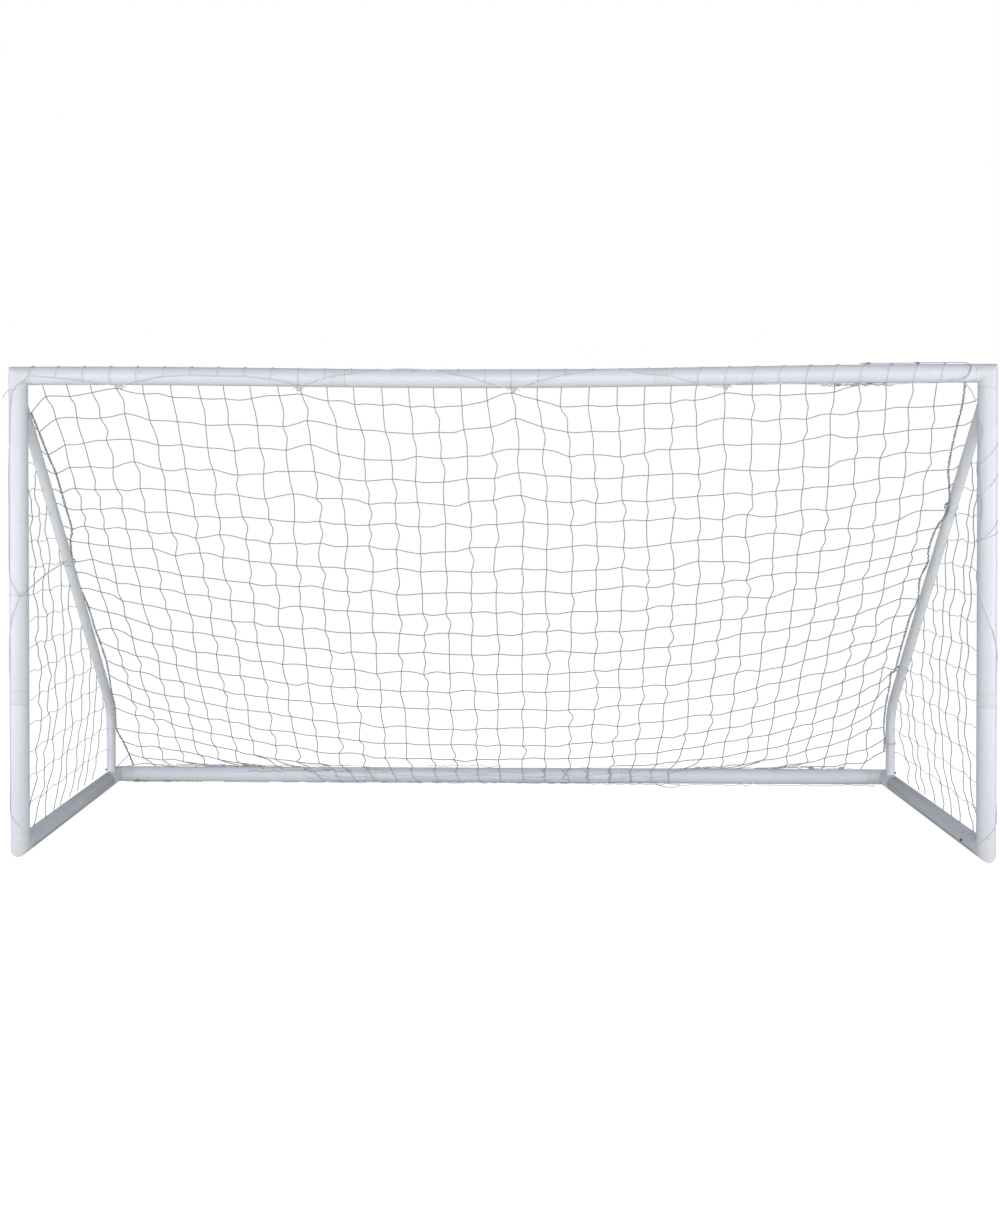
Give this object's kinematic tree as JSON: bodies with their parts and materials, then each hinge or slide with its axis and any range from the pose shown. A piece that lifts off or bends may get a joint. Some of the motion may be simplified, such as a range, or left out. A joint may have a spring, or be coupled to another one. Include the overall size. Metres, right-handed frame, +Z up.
{
  "type": "portable soccer goal",
  "caption": "Portable soccer goal of push-fit plastic tubes with sloping rear stanchions, rear ground bar, spring-loaded snap buttons and a knotted net tied on with cord.",
  "frame": {"origin": "centre of the goal's footprint, on the ground", "axes": "+X along the crossbar, to the right when looking into the goal; +Y from the mouth to the back; +Z up"},
  "size_m": [3.6747, 1.2379, 1.8388],
  "materials": {
    "tube_plastic": "white rigid plastic tube, semi-gloss, slightly bluish",
    "fitting_plastic": "white moulded plastic, satin",
    "button_plastic": "black moulded plastic",
    "spring_steel": "bare spring steel strip",
    "net_twine": "knotted polyethylene twine, white",
    "white_cord": "twisted white cord"
  },
  "bodies": {
    "frame": {"back_net": "net_twine", "base_elbow_left": "fitting_plastic", "base_elbow_right": "fitting_plastic", "corner_rope_left": "white_cord", "corner_rope_right": "white_cord", "crossbar_centre": "tube_plastic", "crossbar_coupler_left": "fitting_plastic", "crossbar_coupler_right": "fitting_plastic", "crossbar_left": "tube_plastic", "crossbar_right": "tube_plastic", "foot_rope": "white_cord", "foot_snap_left_spring": "spring_steel", "foot_snap_right_spring": "spring_steel", "head_rope": "white_cord", "post_coupler_left": "fitting_plastic", "post_coupler_right": "fitting_plastic", "post_lacing_left": "white_cord", "post_lacing_right": "white_cord", "post_lower_left": "tube_plastic", "post_lower_right": "tube_plastic", "post_upper_left": "tube_plastic", "post_upper_right": "tube_plastic", "rear_bar_centre": "tube_plastic", "rear_bar_coupler_left": "fitting_plastic", "rear_bar_coupler_right": "fitting_plastic", "rear_bar_left": "tube_plastic", "rear_bar_right": "tube_plastic", "rear_fitting_left": "fitting_plastic", "rear_fitting_right": "fitting_plastic", "side_bar_left": "tube_plastic", "side_bar_right": "tube_plastic", "side_net_left": "net_twine", "side_net_right": "net_twine", "side_snap_left_spring": "spring_steel", "side_snap_right_spring": "spring_steel", "stanchion_left": "tube_plastic", "stanchion_leg_left": "tube_plastic", "stanchion_leg_right": "tube_plastic", "stanchion_right": "tube_plastic", "stanchion_tie_left_1": "white_cord", "stanchion_tie_right_1": "white_cord", "stanchion_tie_right_2": "white_cord", "stanchion_tie_right_3": "white_cord", "top_elbow_left": "fitting_plastic", "top_elbow_right": "fitting_plastic"},
    "side_snap_left": {"side_snap_left": "button_plastic"},
    "side_snap_right": {"side_snap_right": "button_plastic"},
    "foot_snap_left": {"foot_snap_left": "button_plastic"},
    "foot_snap_right": {"foot_snap_right": "button_plastic"}
  },
  "joints": [
    {"name": "side_snap_left_press", "type": "slide", "parent": "frame", "child": "side_snap_left", "axis": [1, 0, 0], "range_m": [0, 0.006], "stiffness_N_per_m": 400, "springref_m": -0.004, "deforming": ["side_snap_left_spring"]},
    {"name": "side_snap_right_press", "type": "slide", "parent": "frame", "child": "side_snap_right", "axis": [1, 0, 0], "range_m": [0, 0.006], "stiffness_N_per_m": 400, "springref_m": -0.004, "deforming": ["side_snap_right_spring"]},
    {"name": "foot_snap_left_press", "type": "slide", "parent": "frame", "child": "foot_snap_left", "axis": [0.9239, 0.3827, 0], "range_m": [0, 0.006], "stiffness_N_per_m": 400, "springref_m": -0.004, "deforming": ["foot_snap_left_spring"]},
    {"name": "foot_snap_right_press", "type": "slide", "parent": "frame", "child": "foot_snap_right", "axis": [-0.9239, 0.3827, 0], "range_m": [0, 0.006], "stiffness_N_per_m": 400, "springref_m": -0.004, "deforming": ["foot_snap_right_spring"]}
  ]
}
